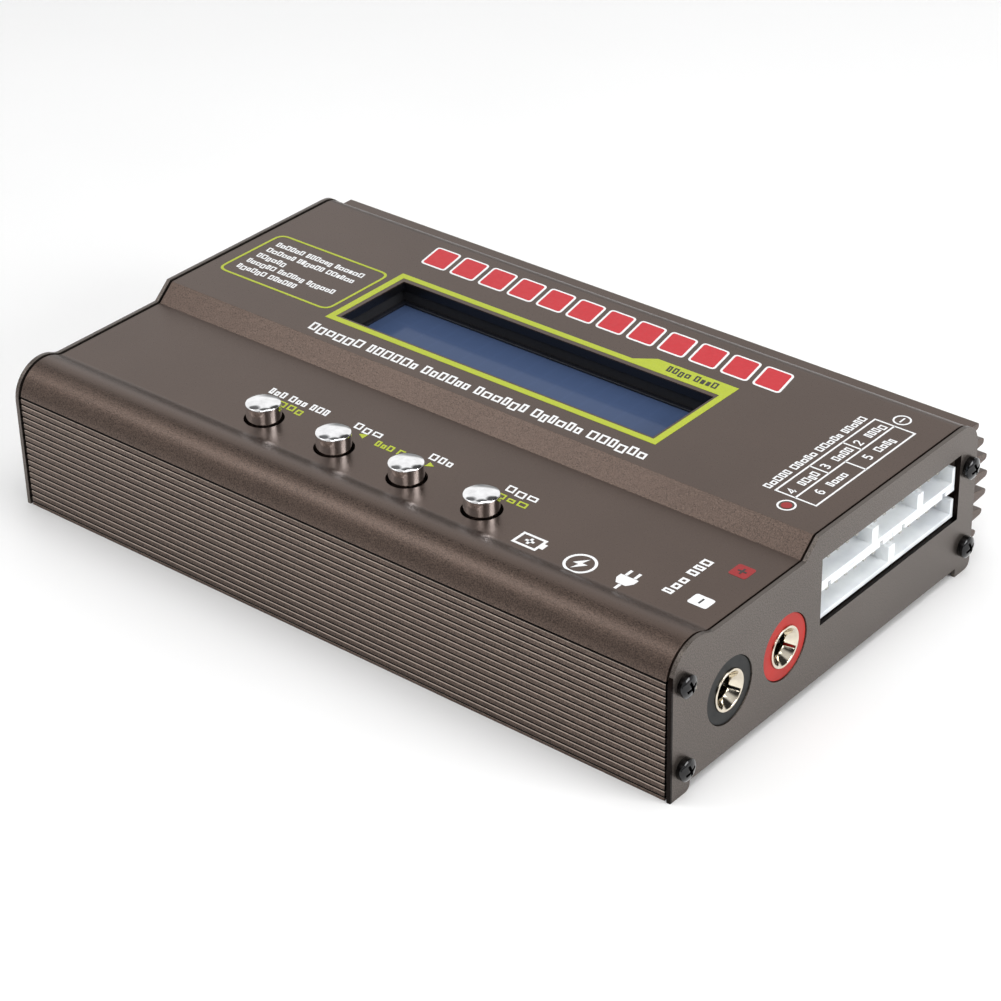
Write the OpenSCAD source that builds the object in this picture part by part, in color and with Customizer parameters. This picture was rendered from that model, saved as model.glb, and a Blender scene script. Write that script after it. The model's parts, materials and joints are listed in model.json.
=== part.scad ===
// Balance battery charger: an aluminium extrusion with a stepped top, closed by two end plates.
// X runs along the extrusion, with the output sockets at +X. Y runs to the finned back. Z is up.
// The origin is on the surface that the charger stands on, under the middle of its box.

/* [Case] */
// Length over both end plates
case_length = 133.6; // [132:0.2:140]
// Depth from the front ribs to the tip of the longest fin
case_depth = 84.8; // [84:0.1:86]
// Height of the upper deck
upper_deck_z = 27.2; // [27:0.1:28.5]
// Height of the lower deck that carries the buttons
lower_deck_z = 24.4; // [24:0.1:25]
// Thickness of the two decks
deck_t = 1.8; // [1.6:0.1:2]
// Thickness of the front and back walls
wall_t = 2; // [1.8:0.1:2.2]
// Where the slope between the decks starts
step_foot_y = -9.95; // [-11:0.05:-9.5]
// Where the slope between the decks ends
step_top_y = -6.75; // [-7:0.05:-6.5]
// Radius of the rounded front edge, which stands above the lower deck
hump_r = 6; // [5.8:0.1:6.2]
// Radius of the rounded top edge at the back
shoulder_r = 4.6; // [4.2:0.1:5]
// Height of the foot rails under the case
foot_h = 1.6; // [1.4:0.1:1.8]

/* [Front ribs] */
// Number of grooves between the ribs
groove_count = 18; // [12:1:18]
// Height of the top groove
groove_top_z = 20.35; // [20.2:0.05:20.45]
// Distance from one groove to the next
groove_pitch = 1.16; // [1.1:0.01:1.16]
// Depth of a groove
groove_depth = 0.6; // [0.4:0.05:0.7]

/* [Cooling fins] */
// Number of fins on the back
fin_count = 7; // [5:1:7]
// Distance from one fin to the next
fin_pitch = 3.32; // [3.2:0.01:3.32]
// Thickness of a fin where it leaves the wall
fin_root_t = 2.7; // [2.4:0.1:2.8]
// Radius of a fin's tip
fin_tip_r = 0.6; // [0.4:0.05:0.65]

/* [End plates] */
// Thickness of an end plate
plate_t = 0.7; // [0.7:0.1:1]
// Thickness of the raised pad behind an end plate, which leaves a dark seam
pad_t = 0.45; // [0.3:0.05:0.5]
// Radius of an end plate screw's head
screw_head_r = 1.8; // [1.7:0.05:1.9]
// Height of an end plate screw's head
screw_head_h = 1.5; // [1.2:0.1:1.6]

/* [Buttons] */
// Distance from one button to the next
button_pitch = 14.95; // [14.5:0.05:15.2]
// Place of the first button along the case
button_first_x = -24.73; // [-25.5:0.01:-24]
// Place of the button row across the case
button_y = -27.4; // [-28:0.1:-27]
// Radius of a button cap
cap_r = 2.85; // [2.7:0.05:2.9]
// Height of a button cap above the lower deck
cap_rise = 3.1; // [2.9:0.1:3.2]
// How far a button goes down
button_travel = 0.4; // [0.2:0.05:0.5]

/* [Display] */
// Length of the display window
window_w = 64.6; // [64:0.1:65]
// Depth of the display window
window_d = 15.8; // [15.5:0.1:16]
// Middle of the display window along the case
window_x = -2; // [-3:0.1:-1]
// Middle of the display window across the case
window_y = 9.3; // [9:0.1:9.6]

/* [Output sockets] */
// Radius of a power socket's bore, for a 4 mm plug
plug_r = 2; // [1.9:0.05:2.05]
// Height of the power sockets
power_z = 12; // [11.8:0.1:12.4]
// Place of the negative power socket
negative_y = -28.4; // [-29:0.1:-28]
// Place of the positive power socket
positive_y = -14.6; // [-15:0.1:-14.6]
// Radius of a power socket's flange
flange_r = 5.4; // [5.2:0.1:5.5]
// Pin spacing of the balance sockets
balance_pitch = 2.5; // [2.5:0.01:2.54]
// Height of one row of balance sockets
balance_row_h = 5.7; // [5.6:0.05:5.7]

/* [Hidden] */
$fn = 48;
e = 0.02; // running gap between pieces that touch on the real charger
cut = 1; // how far a cutter runs past a face

// ---- case section, drawn with Y to the right and Z up ----
front_y = -case_depth / 2;
seam = 0.12; // how far the end plates stand proud of the extrusion
hump_y = front_y + hump_r;
hump_z = 19.45;
valley_r = 3;
valley_z = lower_deck_z + valley_r;
valley_y = hump_y + sqrt(pow(hump_r + valley_r, 2) - pow(valley_z - hump_z, 2));
blend_angle = atan2(valley_z - hump_z, valley_y - hump_y);
step_angle = atan2(upper_deck_z - lower_deck_z, step_top_y - step_foot_y);
plate_back_y = 36.75;
shoulder_y = plate_back_y - shoulder_r;
shoulder_z = upper_deck_z - shoulder_r;
wall_back_y = 36.05;
inner_front_y = front_y + wall_t;
inner_back_y = wall_back_y - wall_t;
inner_low_z = lower_deck_z - deck_t;
inner_high_z = upper_deck_z - deck_t;
front_rail_y = front_y + 4.65;
back_rail_y = 32.5;
foot_r = 1.4;
front_foot_r = 1.2;
groove_floor = 0.1; // half the width of a groove's floor
groove_lip_low = 0.32; // from the middle of a groove down to the lip that faces up
groove_lip_high = 0.14;
fin_first_z = 24.3;
fin_droop = 0.35; // how far a fin's tip hangs below the middle of its root
top_fin_tip = [38.2, 24.55];
fin_arc_r = 17.5;
fin_arc_z = 13.3;
fin_longest_z = fin_first_z - 3 * fin_pitch;
fin_arc_y = case_depth / 2 - sqrt(pow(fin_arc_r, 2) - pow(fin_longest_z - fin_arc_z, 2));

// ---- ends ----
end_x = case_length / 2;
sheet_x = end_x - plate_t;
shell_x = sheet_x - pad_t;
SCREW_PLACES = [[-39.4, 4.7], [-39.4, 19.1], [34.45, 5], [34.45, 19.45]];
screw_bore_r = 1.15;
screw_shank_r = 1.1;
screw_length = 8;
channel_r = 2.2;

// ---- boards ----
board_t = 1.6;
base_t = 0.8;
base_top_z = foot_h + base_t;
sheet_t = 0.3;
main_z = base_top_z + 3.2;
main_top_z = main_z + board_t;
pillar_h = 8.2;
upper_board_z = main_top_z + pillar_h;
upper_board_top_z = upper_board_z + board_t;
main_front_y = -36.6;
main_back_y = 31.9;
main_left_x = -(shell_x - 1.6);
main_right_x = shell_x - 5;
key_board_front_y = -36.5;
key_board_back_y = -10;
lcd_board_w = 80;
lcd_board_d = 36;
lcd_hole_dx = 37.5;
lcd_hole_dy = 15.5;
key_hole_x = 40;
key_hole_low_y = -33.5;
key_hole_high_y = -12.5;
board_hole_r = 1.35;
post_r = 1.2;
post_bore_r = 1.25;
POST_PLACES = [
    for (x = [-1, 1]) for (y = [-1, 1]) [window_x + x * lcd_hole_dx, window_y + y * lcd_hole_dy],
    for (x = [-1, 1]) for (y = [key_hole_low_y, key_hole_high_y]) [x * key_hole_x, y]
];

// ---- buttons and switches ----
BUTTON_X = [for (i = [0:3]) button_first_x + i * button_pitch];
button_hole_r = cap_r + 0.4;
switch_w = 6;
switch_h = 3.4;
switch_top_z = upper_board_top_z + switch_h;
cap_low_z = switch_top_z + button_travel + 0.3;
cap_top_z = lower_deck_z + cap_rise;
stem_r = 1.6;
stem_top_z = cap_low_z + 1.2;
plunger_r = 2;
chamber_r = 2.35;
chamber_low_z = upper_board_top_z + 0.6;
chamber_high_z = switch_top_z - 0.7;
plunger_low_z = chamber_low_z + 0.8;

// ---- display ----
bezel_top_z = 23.1;
bezel_w = 71.2;
bezel_d = 24.2;
bezel_t = 0.4;
glass_t = 2;

// ---- balance sockets ----
window_low_z = 11.07;
window_high_z = 22.7;
window_front_y = -5.69;
window_back_y = 32.02;
balance_back_y = window_back_y - 0.07;
balance_low_z = window_high_z - 0.05 - 2 * balance_row_h;
balance_face_x = end_x - 0.8;
balance_depth = 7;
balance_board_x = balance_face_x - balance_depth;
pin_w = 0.64;
function housing_w(pins) = (pins - 1) * balance_pitch + 4.9;
function cell_pins(cells) = cells + 1;
// The upper row holds 2, 3 and 4 cells from the back. The lower row holds 5 and 6.
function balance_y(cells) =
    cells == 2 ? balance_back_y - housing_w(3) :
    cells == 3 ? balance_y(2) - housing_w(4) :
    cells == 4 ? balance_y(3) - housing_w(5) :
    cells == 5 ? balance_back_y - housing_w(6) :
    balance_y(5) - housing_w(7);
function balance_z(cells) = balance_low_z + (cells < 5 ? balance_row_h : 0);

// ---- input end ----
jack_y = -26;
jack_z = main_top_z + 6.5;
jack_pin_r = 1.25;
jack_tail_r = 1;
jack_mouth_x = -end_x - 0.6;
jack_floor_x = -shell_x + 9.5;
jack_back_x = -shell_x + 13.5;
jack_bore_r = 3.15;
sensor_y = -2;

// ================= helpers =================

// A section of Y and Z, extruded along X.
module along_x(x0, x1) {
    translate([x0, 0, 0]) rotate([90, 0, 90]) linear_extrude(x1 - x0) children();
}

// A cylinder along X, from x0 to x1.
module rod_x(x0, x1, y, z, r) {
    translate([x0, y, z]) rotate([0, 90, 0]) cylinder(h = x1 - x0, r = r);
}

// A cylinder along Z, from z0 to z1.
module rod_z(x, y, z0, z1, r) {
    translate([x, y, z0]) cylinder(h = z1 - z0, r = r);
}

// A block given by its lowest and highest corners.
module block(low, high) {
    translate(low) cube(high - low);
}

// Points along an arc, from one angle to another.
function arc(centre, r, from, to, steps = 10) = [
    for (i = [0:steps]) let (a = from + (to - from) * i / steps) centre + r * [cos(a), sin(a)]
];

function reversed(points) = [for (i = [len(points) - 1:-1:0]) points[i]];

// A quarter of a disc, for rounding an outer edge.
module quarter(centre, r) {
    intersection() {
        translate(centre) circle(r);
        translate(centre) square(r);
    }
}

// A hexagonal post along Z, measured across its flats.
module hex_post(x, y, z0, z1, flats) {
    translate([x, y, z0]) cylinder(h = z1 - z0, r = flats / sqrt(3), $fn = 6);
}

// ================= case =================

// The top outline, from the front face over both decks to the rounded top edge at the back.
function top_outline(inset, front_start, shoulder_end) = let (
    slope_shift = inset * tan(step_angle / 2)
) concat(
    arc([hump_y, hump_z], hump_r - inset, front_start, blend_angle, 16),
    arc([valley_y, valley_z], valley_r + inset, 180 + blend_angle, 270, 8),
    [
        [step_foot_y + slope_shift, lower_deck_z - inset],
        [step_top_y + slope_shift, upper_deck_z - inset]
    ],
    arc([shoulder_y, shoulder_z], shoulder_r - inset, 90, shoulder_end)
);

// An end plate is cut out between its two feet, which are rounded at the back.
module plate_section(inset, low) {
    front_foot_y = front_rail_y - inset;
    polygon(concat(
        [[front_foot_y, foot_h + low]],
        arc([front_foot_y - front_foot_r, low + front_foot_r], front_foot_r, 0, -90, 6),
        [[front_y + inset, low]],
        top_outline(inset, 180, 0),
        arc([plate_back_y - inset - foot_r, low + foot_r], foot_r, 0, -90, 6),
        [[back_rail_y + inset, low], [back_rail_y + inset, foot_h + low]]
    ));
}

// The hollow under both decks, from the front rail to the back rail.
function cavity_outline() = let (
    slope_shift = deck_t * tan(step_angle / 2),
    front_chamfer = 2.2,
    back_chamfer = 2
) [
    [front_rail_y, 0], [front_rail_y, foot_h], [inner_front_y, foot_h],
    [inner_front_y, inner_low_z - front_chamfer], [inner_front_y + front_chamfer, inner_low_z],
    [step_foot_y + slope_shift, inner_low_z], [step_top_y + slope_shift, inner_high_z],
    [inner_back_y - back_chamfer, inner_high_z], [inner_back_y, inner_high_z - back_chamfer],
    [inner_back_y, foot_h], [back_rail_y, foot_h], [back_rail_y, 0]
];

// A fin tapers from its root to a round tip, whose reach follows an arc.
function tip_y(z) = fin_arc_y + sqrt(pow(fin_arc_r, 2) - pow(z - fin_arc_z, 2)) - fin_tip_r;
function fin_outline(z) = concat(
    [[wall_back_y, z + fin_droop + fin_root_t / 2]],
    arc([tip_y(z), z], fin_tip_r, 80, -85, 8),
    [[wall_back_y, z + fin_droop - fin_root_t / 2]]
);

// The top fin continues the rounded top edge.
function top_fin_outline() = concat(
    arc(top_fin_tip, fin_tip_r, 90, -85, 8),
    [[wall_back_y, top_fin_tip[1] - fin_root_t / 2]]
);

// The outer face of the front wall, which follows the hump above the hump's middle.
function face_y(z) = z <= hump_z ? front_y + seam
    : hump_y - sqrt(pow(hump_r - seam, 2) - pow(z - hump_z, 2));

// A groove is a narrow slot whose lower lip is bevelled.
function groove_outline(z) = let (
    low = z - groove_lip_low,
    high = z + groove_lip_high,
    bevel = groove_lip_low - groove_lip_high,
    floor_y = front_y + seam + groove_depth
) [
    [face_y(low), low], [face_y(low) + bevel, low + bevel], [floor_y, z - groove_floor],
    [floor_y, z + groove_floor], [face_y(high), high]
];

// The whole section of the extrusion: grooves, decks, fins and rails outside, and the hollow inside.
module shell_section() {
    top_fin_end = asin((top_fin_tip[1] + fin_tip_r - shoulder_z) / (shoulder_r - seam));
    front_start = 180 - asin((groove_top_z + 2 * groove_lip_high - hump_z) / (hump_r - seam));
    rail_lip = 0.8;
    polygon(concat(
        [[front_y + seam, 0]],
        [for (i = [groove_count - 1:-1:0]) each groove_outline(groove_top_z - i * groove_pitch)],
        top_outline(seam, front_start, top_fin_end),
        top_fin_outline(),
        [for (i = [1:fin_count - 1]) each fin_outline(fin_first_z - i * fin_pitch)],
        [[wall_back_y, foot_h], [wall_back_y + rail_lip, foot_h], [wall_back_y + rail_lip, 0]],
        reversed(cavity_outline())
    ));
}

// A screw channel is a tube along the extrusion, open on its inner side.
module channel_section(y, z) {
    intersection() {
        translate([y, z]) circle(channel_r);
        translate([front_y + 1, 0]) square([wall_back_y - front_y - 1.2, inner_low_z]);
    }
}

module channel_hole_section(y, z, inward) {
    translate([y, z]) circle(screw_bore_r);
    translate([inward > 0 ? y : y - channel_r - 0.5, z - 0.45]) square([channel_r + 0.5, 0.9]);
}

module each_channel() {
    for (place = SCREW_PLACES) {
        $y = place[0];
        $z = place[1];
        $inward = -sign(place[0]);
        children();
    }
}

CLAMP_SCREW_X = [-28, 4];
clamp_z = fin_first_z - 4 * fin_pitch;

module case_shell() {
    color("#5f5650")
    difference() {
        union() {
            along_x(-shell_x, shell_x) shell_section();
            along_x(-shell_x, shell_x) each_channel() channel_section($y, $z);
        }
        along_x(-shell_x - cut, shell_x + cut) each_channel() channel_hole_section($y, $z, $inward);
        block([window_x - window_w / 2, window_y - window_d / 2, inner_high_z - cut],
            [window_x + window_w / 2, window_y + window_d / 2, upper_deck_z + cut]);
        for (x = BUTTON_X) rod_z(x, button_y, inner_low_z - cut, lower_deck_z + cut, button_hole_r);
        for (x = CLAMP_SCREW_X)
            translate([x, inner_back_y - cut, clamp_z]) rotate([-90, 0, 0]) cylinder(h = 4 + cut, r = 1.05);
    }
}

module base_plate() {
    color("#77706a")
    block([-shell_x, inner_front_y + 0.1, foot_h], [shell_x, inner_back_y - 0.1, base_top_z]);
}

// One end plate, drawn at the output end: a sheet with a raised pad on its inner side.
module blank_plate() {
    along_x(sheet_x, end_x) plate_section(0, 0);
    along_x(shell_x, sheet_x) plate_section(1, 1);
}

module plate_screw_holes() {
    each_channel() rod_x(shell_x - cut, end_x + cut, $y, $z, 1.35);
}

module output_end_plate() {
    color("#736b65")
    difference() {
        blank_plate();
        plate_screw_holes();
        for (y = [negative_y, positive_y]) {
            rod_x(shell_x - cut, end_x + cut, y, power_z, 4.05);
            rod_x(sheet_x, end_x + cut, y, power_z, flange_r + 0.1);
        }
        block([shell_x - cut, window_front_y, window_low_z], [end_x + cut, window_back_y, window_high_z]);
    }
}

module input_end_plate() {
    color("#736b65")
    mirror([1, 0, 0]) difference() {
        blank_plate();
        plate_screw_holes();
        rod_x(shell_x - cut, end_x + cut, jack_y, jack_z, 4.2);
        block([shell_x - cut, sensor_y - 5.1, main_top_z - 0.1], [end_x + cut, sensor_y + 5.1, main_top_z + 5.9]);
    }
}

// A pan head screw along X with a cross recess, its head resting on the end plate.
module plate_screw(y, z) {
    difference() {
        union() {
            translate([end_x + e, y, z]) rotate([0, 90, 0]) rotate_extrude() intersection() {
                square([screw_head_r, screw_head_h]);
                translate([0, screw_head_h - 3.2]) circle(3.2);
            }
            rod_x(end_x - screw_length, end_x + e, y, z, screw_shank_r);
        }
        for (turn = [0, 90])
            translate([end_x + screw_head_h - 0.75, y, z]) rotate([turn + 20, 0, 0])
                translate([0, -1.1, -0.25]) cube([cut + 0.75, 2.2, 0.5]);
    }
}

module output_plate_screws() {
    color("#1b1b1d") each_channel() plate_screw($y, $z);
}

module input_plate_screws() {
    color("#1b1b1d") mirror([1, 0, 0]) each_channel() plate_screw($y, $z);
}

// ================= boards =================

module insulation_sheet() {
    color("#d8d2bd")
    difference() {
        block([main_left_x, main_front_y, base_top_z + e], [main_right_x, main_back_y, base_top_z + sheet_t]);
        for (p = POST_PLACES) rod_z(p[0], p[1], base_top_z - cut, base_top_z + cut, 3.2);
    }
}

module main_board() {
    color("#1f5a35")
    difference() {
        block([main_left_x, main_front_y, main_z], [main_right_x, main_back_y, main_top_z]);
        for (p = POST_PLACES) rod_z(p[0], p[1], main_z - cut, main_top_z + cut, board_hole_r);
    }
}

module board_standoffs() {
    color("#b9b9bb")
    for (p = POST_PLACES) difference() {
        hex_post(p[0], p[1], base_top_z, main_z - e, 4.5);
        rod_z(p[0], p[1], base_top_z + 0.4, main_z + cut, post_bore_r);
    }
}

module board_pillars() {
    color("#c3a24b")
    for (p = POST_PLACES) difference() {
        union() {
            hex_post(p[0], p[1], main_top_z + e, upper_board_z - e, 4.5);
            rod_z(p[0], p[1], base_top_z + 0.7, main_top_z + 1, post_r);
        }
        rod_z(p[0], p[1], upper_board_z - 4, upper_board_z + cut, post_bore_r);
    }
}

module board_screws() {
    color("#c9c9cb")
    for (p = POST_PLACES) difference() {
        union() {
            rod_z(p[0], p[1], upper_board_z - 3.4, upper_board_top_z + e, post_r);
            rod_z(p[0], p[1], upper_board_top_z + e, upper_board_top_z + 1.5, 2.2);
        }
        for (turn = [0, 90]) translate([p[0], p[1], upper_board_top_z + 0.8]) rotate([0, 0, turn])
            translate([-1.2, -0.25, 0]) cube([2.4, 0.5, cut]);
    }
}

module key_board() {
    color("#1f5a35")
    difference() {
        block([-key_hole_x - 4, key_board_front_y, upper_board_z],
            [key_hole_x + 4, key_board_back_y, upper_board_top_z]);
        for (p = POST_PLACES) rod_z(p[0], p[1], upper_board_z - cut, upper_board_top_z + cut, board_hole_r);
    }
}

module lcd_board() {
    color("#1a4f7a")
    difference() {
        block([window_x - lcd_board_w / 2, window_y - lcd_board_d / 2, upper_board_z],
            [window_x + lcd_board_w / 2, window_y + lcd_board_d / 2, upper_board_top_z]);
        for (p = POST_PLACES) rod_z(p[0], p[1], upper_board_z - cut, upper_board_top_z + cut, board_hole_r);
        for (i = [0:15])
            rod_z(lcd_header_x + i * 2.54, lcd_header_y, upper_board_z - cut, upper_board_top_z + cut, 0.5);
    }
}

// ================= buttons and switches =================

module switch_housings() {
    color("#2a2a2c")
    for (x = BUTTON_X) difference() {
        block([x - switch_w / 2, button_y - switch_w / 2, upper_board_top_z + e],
            [x + switch_w / 2, button_y + switch_w / 2, switch_top_z]);
        rod_z(x, button_y, chamber_low_z, chamber_high_z, chamber_r);
        rod_z(x, button_y, chamber_low_z, switch_top_z + cut, stem_r + 0.1);
    }
}

// A contact dome, drawn snapped down: the shape that it has under a pressed plunger.
module switch_contact_domes() {
    thick = 0.12;
    crown_r = 1;
    rise = 0.2;
    rim = 2.1;
    color("#c8c8ca")
    for (x = BUTTON_X) translate([x, button_y, chamber_low_z]) rotate_extrude()
        polygon([[0, rise], [crown_r, rise], [rim, 0], [rim, thick], [crown_r, rise + thick], [0, rise + thick]]);
}

module button_cap(i) {
    h = cap_top_z - cap_low_z;
    round_r = 0.7;
    dome_r = 9;
    color("#d5d5d8")
    translate([BUTTON_X[i], button_y, cap_low_z]) difference() {
        rotate_extrude() intersection() {
            union() {
                square([cap_r - round_r, h]);
                square([cap_r, h - round_r]);
                quarter([cap_r - round_r, h - round_r], round_r);
            }
            translate([0, h - dome_r]) circle(dome_r, $fn = 180);
        }
        translate([0, 0, -cut]) cylinder(h = cut + stem_top_z - cap_low_z + e, r = stem_r + e);
    }
}

module switch_plunger(i) {
    color("#e8e6de") {
        rod_z(BUTTON_X[i], button_y, plunger_low_z, stem_top_z, stem_r);
        rod_z(BUTTON_X[i], button_y, plunger_low_z, plunger_low_z + 0.7, plunger_r);
    }
}

// ================= display =================

module frame_ring(w, d, open_w, open_d, z0, z1) {
    difference() {
        block([window_x - w / 2, window_y - d / 2, z0], [window_x + w / 2, window_y + d / 2, z1]);
        block([window_x - open_w / 2, window_y - open_d / 2, z0 - cut],
            [window_x + open_w / 2, window_y + open_d / 2, z1 + cut]);
    }
}

module lcd_gasket() {
    color("#121214")
    frame_ring(bezel_w - 1, bezel_d - 1, window_w + 1, window_d + 1, bezel_top_z + e, inner_high_z - 0.05);
}

module lcd_bezel() {
    color("#18181b") {
        frame_ring(bezel_w, bezel_d, window_w - 0.4, window_d - 0.4, bezel_top_z - bezel_t, bezel_top_z);
        frame_ring(bezel_w, bezel_d, bezel_w - 2 * bezel_t, bezel_d - 2 * bezel_t,
            upper_board_top_z + e, bezel_top_z - bezel_t);
    }
}

module lcd_glass() {
    color("#4b5f86")
    block([window_x - bezel_w / 2 + 1, window_y - bezel_d / 2 + 1, bezel_top_z - bezel_t - e - glass_t],
        [window_x + bezel_w / 2 - 1, window_y + bezel_d / 2 - 1, bezel_top_z - bezel_t - e]);
}

module lcd_backlight() {
    color("#e9edf2")
    block([window_x - bezel_w / 2 + 1, window_y - bezel_d / 2 + 1, upper_board_top_z + 0.1],
        [window_x + bezel_w / 2 - 1, window_y + bezel_d / 2 - 1, bezel_top_z - bezel_t - glass_t - 0.1]);
}

lcd_header_x = window_x - lcd_board_w / 2 + 8;
lcd_header_y = window_y + lcd_hole_dy;
key_header_x = 20;
key_header_y = key_hole_high_y;

module header_pins() {
    color("#c9a84a") {
        for (i = [0:15]) rod_z(lcd_header_x + i * 2.54, lcd_header_y, main_top_z + e, upper_board_top_z + 0.8, 0.3);
        for (i = [0:5]) rod_z(key_header_x + i * 2.54, key_header_y, main_top_z + e, upper_board_z - e, 0.3);
    }
}

module header_strip(x, y, pins) {
    difference() {
        block([x - 1.27, y - 1.25, main_top_z + e], [x + (pins - 0.5) * 2.54, y + 1.25, upper_board_z - e]);
        for (i = [0:pins - 1]) rod_z(x + i * 2.54, y, main_top_z - cut, upper_board_z + cut, 0.32);
    }
}

module header_strips() {
    color("#1c1c1e") {
        header_strip(lcd_header_x, lcd_header_y, 16);
        header_strip(key_header_x, key_header_y, 6);
    }
}

// ================= power sockets =================

rim_r = 3.4;
rim_low_x = end_x - 0.5;
rim_high_x = end_x + 0.05;
tube_r = 2.9;
tube_in_x = end_x - 20;
flange_recess = 0.2;

// The flange lies in the end plate's stepped hole, a little below its face.
module socket_insulator(y) {
    difference() {
        union() {
            rod_x(sheet_x + e, end_x - flange_recess, y, power_z, flange_r);
            rod_x(shell_x - 1, sheet_x + e, y, power_z, 4);
        }
        rod_x(rim_low_x, end_x + cut, y, power_z, rim_r + e);
        rod_x(shell_x - 2, end_x + cut, y, power_z, tube_r + e);
    }
}

module negative_socket_insulator() {
    color("#202224") socket_insulator(negative_y);
}

module positive_socket_insulator() {
    color("#b3342c") socket_insulator(positive_y);
}

// A turned brass socket: a rim with a funnel, a tube with one slit on each side, and a solid tail.
module socket_contact(y) {
    funnel = 1.6;
    slit = 0.4;
    slit_low_x = end_x - 12;
    color("#d8c79a")
    difference() {
        union() {
            rod_x(rim_low_x + e, rim_high_x, y, power_z, rim_r);
            rod_x(tube_in_x, rim_low_x + e, y, power_z, tube_r);
        }
        rod_x(tube_in_x + 2, end_x + cut, y, power_z, plug_r);
        translate([rim_high_x - funnel, y, power_z]) rotate([0, 90, 0])
            cylinder(h = funnel + 0.01, r1 = plug_r, r2 = rim_r - 0.35);
        translate([slit_low_x, y, power_z]) rotate([-28, 0, 0])
            translate([0, -rim_r - cut, -slit / 2]) cube([rim_high_x - 0.2 - slit_low_x, 2 * (rim_r + cut), slit]);
    }
}

module negative_socket_contact() {
    socket_contact(negative_y);
}

module positive_socket_contact() {
    socket_contact(positive_y);
}

module socket_washers() {
    color("#2a2a2c")
    for (y = [negative_y, positive_y]) difference() {
        rod_x(shell_x - 1.6, shell_x - e, y, power_z, flange_r - 0.1);
        rod_x(shell_x - 3, shell_x + cut, y, power_z, 4.02);
    }
}

module socket_nuts() {
    color("#c9c9cb")
    for (y = [negative_y, positive_y]) difference() {
        translate([shell_x - 4.1, y, power_z]) rotate([0, 90, 0]) cylinder(h = 2.45, r = 8 / sqrt(3), $fn = 6);
        rod_x(shell_x - 5, shell_x + cut, y, power_z, tube_r + e);
    }
}

// A flat brass ring on each contact, with a leg down to the main board.
module socket_lugs() {
    x1 = shell_x - 4.15;
    x0 = x1 - 0.8;
    color("#cfb266")
    for (y = [negative_y, positive_y]) {
        difference() {
            union() {
                rod_x(x0, x1, y, power_z, 4.2);
                block([x0, y - 2, main_top_z + e], [x1, y + 2, power_z - 2.5]);
            }
            rod_x(x0 - cut, x1 + cut, y, power_z, tube_r + e);
        }
        block([x0 - 4, y - 2, main_top_z + e], [x0, y + 2, main_top_z + 0.8]);
    }
}

// ================= balance sockets =================

// A shrouded header that faces +X. Its side walls are notched under the top wall.
module balance_header(x0, y0, z0, pins, w, h) {
    side = 0.85;
    floor_t = 1.6;
    slot = 0.8;
    x1 = x0 + balance_depth;
    difference() {
        block([x0 + e, y0 + 0.04, z0 + 0.02], [x1, y0 + w - 0.04, z0 + h - 0.02]);
        block([x0 + floor_t, y0 + side, z0 + side], [x1 + cut, y0 + w - side, z0 + h - side]);
        block([x1 - 3.2, y0 - cut, z0 + 0.6 * h], [x1 + cut, y0 + w + cut, z0 + h - side]);
        for (y = [y0 + 3 - slot / 2, y0 + w - 3 - slot / 2])
            block([x1 - 3.2, y, z0 + h - side - 0.1], [x1 + cut, y + slot, z0 + h + cut]);
        for (i = [0:pins - 1])
            block([x0 - cut, y0 + 2.45 + i * balance_pitch - pin_w / 2 - e, z0 + h / 2 - pin_w / 2 - e],
                [x1, y0 + 2.45 + i * balance_pitch + pin_w / 2 + e, z0 + h / 2 + pin_w / 2 + e]);
    }
}

module balance_socket(cells) {
    pins = cell_pins(cells);
    color("#f2f2ee")
    balance_header(balance_board_x, balance_y(cells), balance_z(cells), pins, housing_w(pins), balance_row_h);
}

module header_pin(x0, x1, y, z) {
    block([x0, y - pin_w / 2, z - pin_w / 2], [x1, y + pin_w / 2, z + pin_w / 2]);
}

module balance_pins() {
    color("#c8c6ba")
    for (cells = [2:6]) for (i = [0:cells])
        header_pin(balance_board_x - 3.2, balance_face_x - 1.6,
            balance_y(cells) + 2.45 + i * balance_pitch, balance_z(cells) + balance_row_h / 2);
}

module balance_board() {
    color("#1f5a35")
    difference() {
        block([balance_board_x - board_t, window_front_y - 0.3, main_top_z + e],
            [balance_board_x, balance_back_y, 24.8]);
        for (cells = [2:6]) for (i = [0:cells])
            rod_x(balance_board_x - board_t - cut, balance_board_x + cut,
                balance_y(cells) + 2.45 + i * balance_pitch, balance_z(cells) + balance_row_h / 2, 0.5);
    }
}

// ================= input end =================

module dc_jack_housing() {
    color("#1c1c1e")
    difference() {
        union() {
            block([-shell_x + 0.2, jack_y - 4.5, main_top_z + e], [jack_back_x, jack_y + 4.5, jack_z + 4.7]);
            rod_x(jack_mouth_x, -shell_x + 1, jack_y, jack_z, 4);
        }
        rod_x(jack_mouth_x - cut, jack_floor_x, jack_y, jack_z, jack_bore_r);
        rod_x(jack_floor_x - cut, jack_back_x + cut, jack_y, jack_z, jack_tail_r + e);
        block([-shell_x + 3, jack_y - 1.5, main_top_z - cut], [-shell_x + 9, jack_y + 1.5, jack_z]);
    }
}

// The pin's tail is thinner than its free end and passes through the housing.
module dc_jack_pin() {
    color("#c8c8ca") {
        rod_x(jack_mouth_x + 1.6, jack_floor_x - e, jack_y, jack_z, jack_pin_r);
        rod_x(jack_floor_x - 1, jack_back_x + 0.8, jack_y, jack_z, jack_tail_r);
    }
}

// The spring contact rises from the board beside the plug's path.
module dc_jack_spring() {
    color("#cfb266") {
        block([-shell_x + 4, jack_y - 1.2, main_top_z + e], [-shell_x + 4.4, jack_y + 1.2, jack_z - jack_bore_r - 0.1]);
        block([-shell_x + 4, jack_y - 1.2, jack_z - jack_bore_r - 0.4],
            [-shell_x + 8, jack_y + 1.2, jack_z - jack_bore_r - 0.1]);
    }
}

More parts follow.
